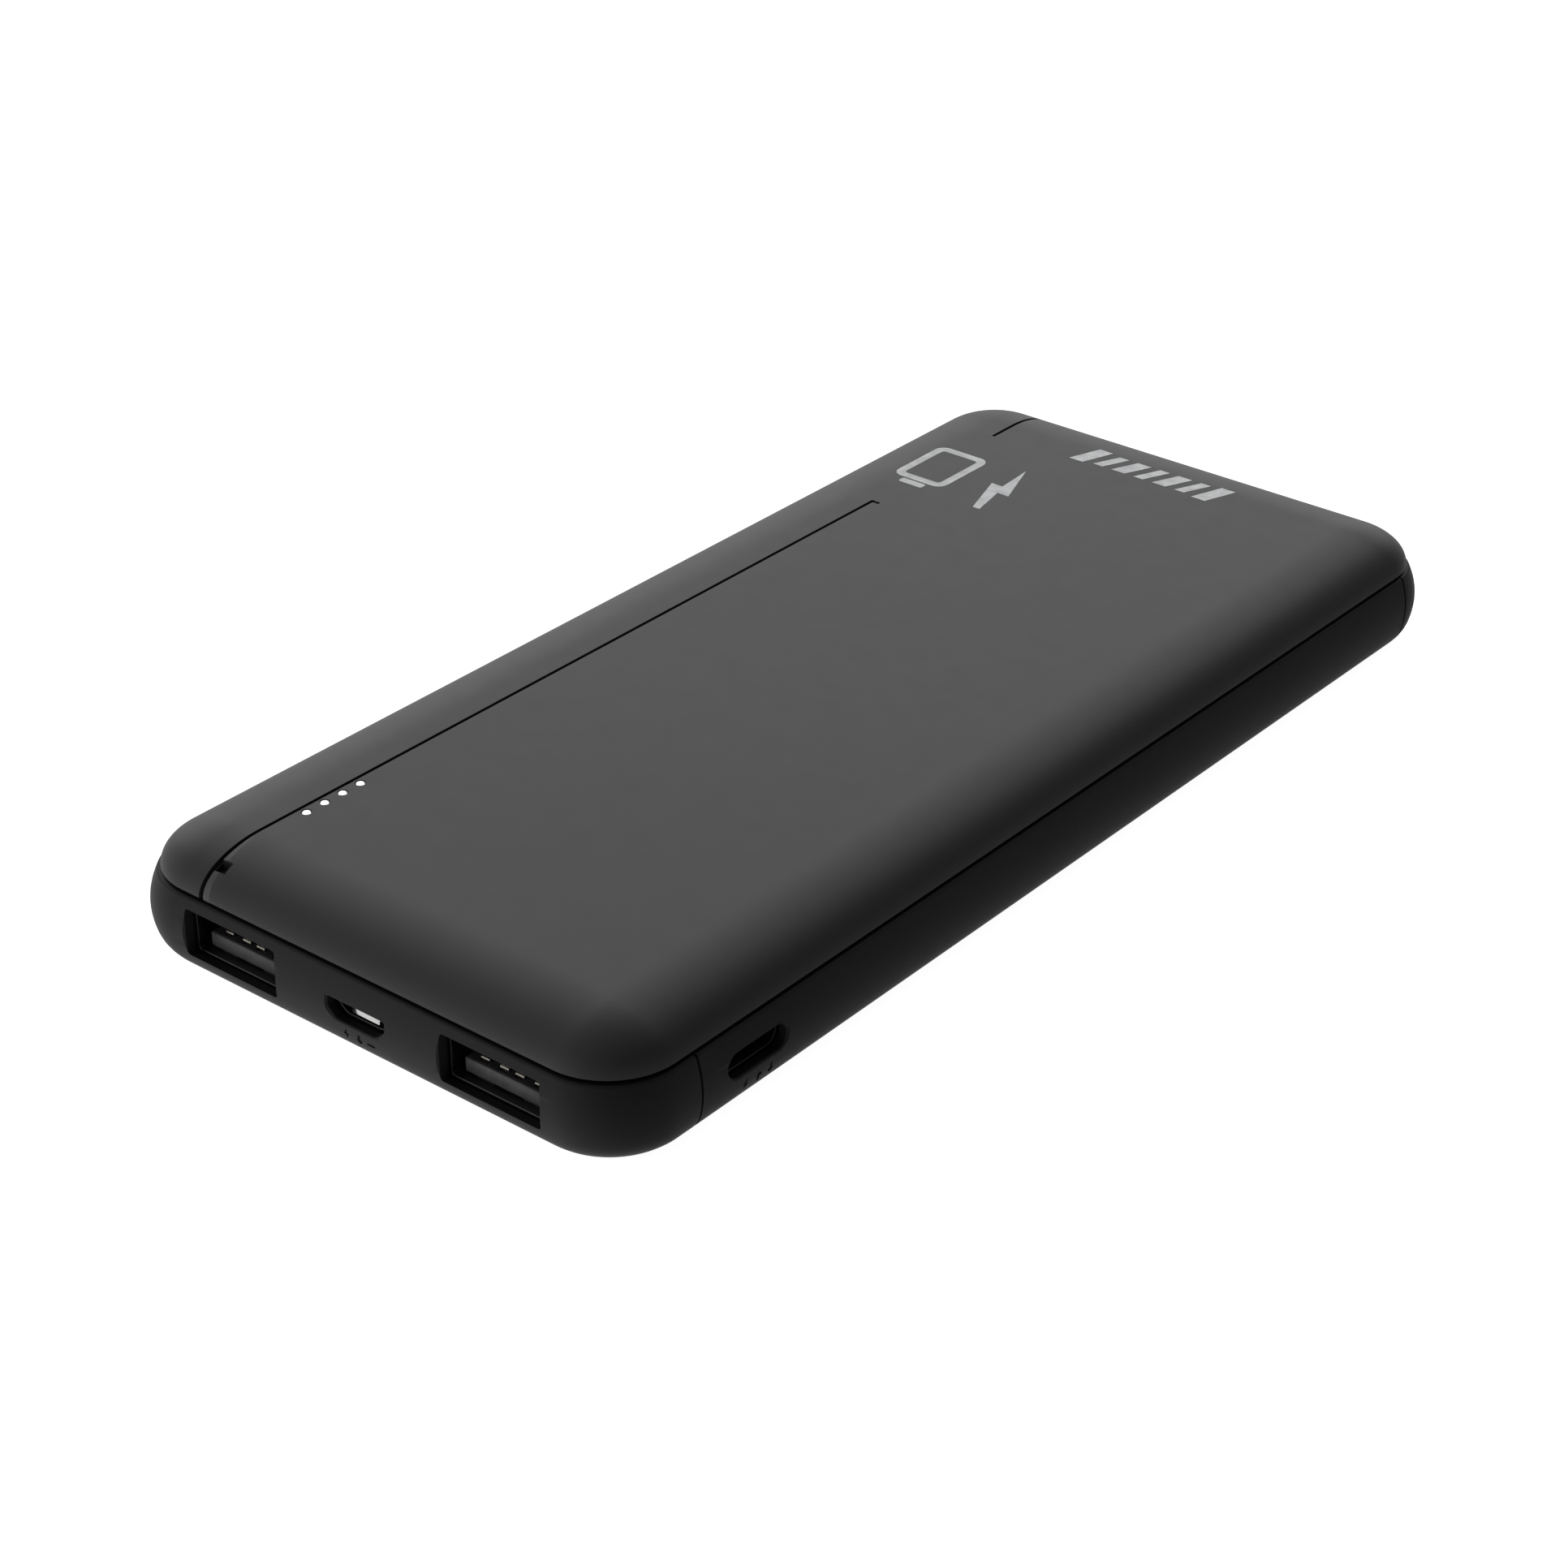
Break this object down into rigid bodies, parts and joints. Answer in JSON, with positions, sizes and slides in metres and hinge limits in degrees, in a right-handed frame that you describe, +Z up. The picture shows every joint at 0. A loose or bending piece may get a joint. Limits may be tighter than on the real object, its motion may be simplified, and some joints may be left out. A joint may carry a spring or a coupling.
{
  "type": "power bank",
  "caption": "Slim pocket power bank: pillow-topped black case with full-size and small charging sockets, charge lights and a side button.",
  "frame": {"origin": "under the middle of the case, on the surface it rests on", "axes": "+Z up out of the pillow top, +Y along the case away from the port end, +X towards the side with the small reversible socket"},
  "size_m": [0.069, 0.1492, 0.0138],
  "materials": {
    "case_black": "fine matt texture",
    "side_black": "fine matt texture",
    "button_black": "fine matt texture",
    "socket_steel": "nickel-plated sheet",
    "socket_plastic": "moulded, satin",
    "contact_gold": "gold-plated",
    "board_green": "solder mask",
    "chip_black": "moulded, matt",
    "inductor_grey": "pressed powder",
    "capacitor_ochre": "moulded",
    "clear_guide": "clear, polished",
    "led_white": "translucent",
    "switch_grey": "moulded",
    "pouch_foil": "laminated foil",
    "nickel": "bright strip",
    "tape_white": "paper-backed adhesive",
    "foam_black": "closed-cell foam",
    "lead_red": "silicone insulation",
    "lead_black": "silicone insulation",
    "screw_steel": "plated"
  },
  "bodies": {
    "case": {"battery_cell_lower": "pouch_foil", "battery_cell_upper": "pouch_foil", "battery_lead_black": "lead_black", "battery_lead_red": "lead_red", "board_screw_1": "screw_steel", "board_screw_2": "screw_steel", "board_screw_3": "screw_steel", "bottom_cover": "side_black", "capacitor_front": "capacitor_ochre", "capacitor_rear": "capacitor_ochre", "cell_bond_tape": "tape_white", "cell_floor_tape": "tape_white", "cell_foam_pad": "foam_black", "charge_led_1": "led_white", "charge_led_2": "led_white", "charge_led_3": "led_white", "charge_led_4": "led_white", "front_end_cap": "side_black", "light_guide": "clear_guide", "main_board": "board_green", "micro_usb_insert": "socket_plastic", "micro_usb_shell": "socket_steel", "nickel_tab_negative": "nickel", "nickel_tab_positive": "nickel", "power_controller": "chip_black", "power_inductor": "inductor_grey", "protection_board": "board_green", "rear_end_cap": "side_black", "tact_switch_body": "switch_grey", "top_cover": "case_black", "transistor_front": "chip_black", "transistor_rear": "chip_black", "usb_a_left_contact_1": "contact_gold", "usb_a_left_contact_2": "contact_gold", "usb_a_left_contact_3": "contact_gold", "usb_a_left_contact_4": "contact_gold", "usb_a_left_insert": "socket_plastic", "usb_a_left_shell": "socket_steel", "usb_a_right_contact_1": "contact_gold", "usb_a_right_contact_2": "contact_gold", "usb_a_right_contact_3": "contact_gold", "usb_a_right_contact_4": "contact_gold", "usb_a_right_insert": "socket_plastic", "usb_a_right_shell": "socket_steel", "usb_c_insert": "socket_plastic", "usb_c_shell": "socket_steel"},
    "button": {"power_button": "button_black"},
    "plunger": {"tact_switch_plunger": "chip_black"}
  },
  "joints": [
    {"name": "button_press", "type": "slide", "parent": "case", "child": "button", "axis": [1, 0, 0], "range_m": [0, 0.0003], "stiffness_N_per_m": 5000},
    {"name": "plunger_press", "type": "slide", "parent": "case", "child": "plunger", "axis": [1, 0, 0], "range_m": [0, 0.0003]}
  ],
  "couplings": [
    {"joint": "plunger_press", "follows": "button_press", "ratio": 1}
  ]
}
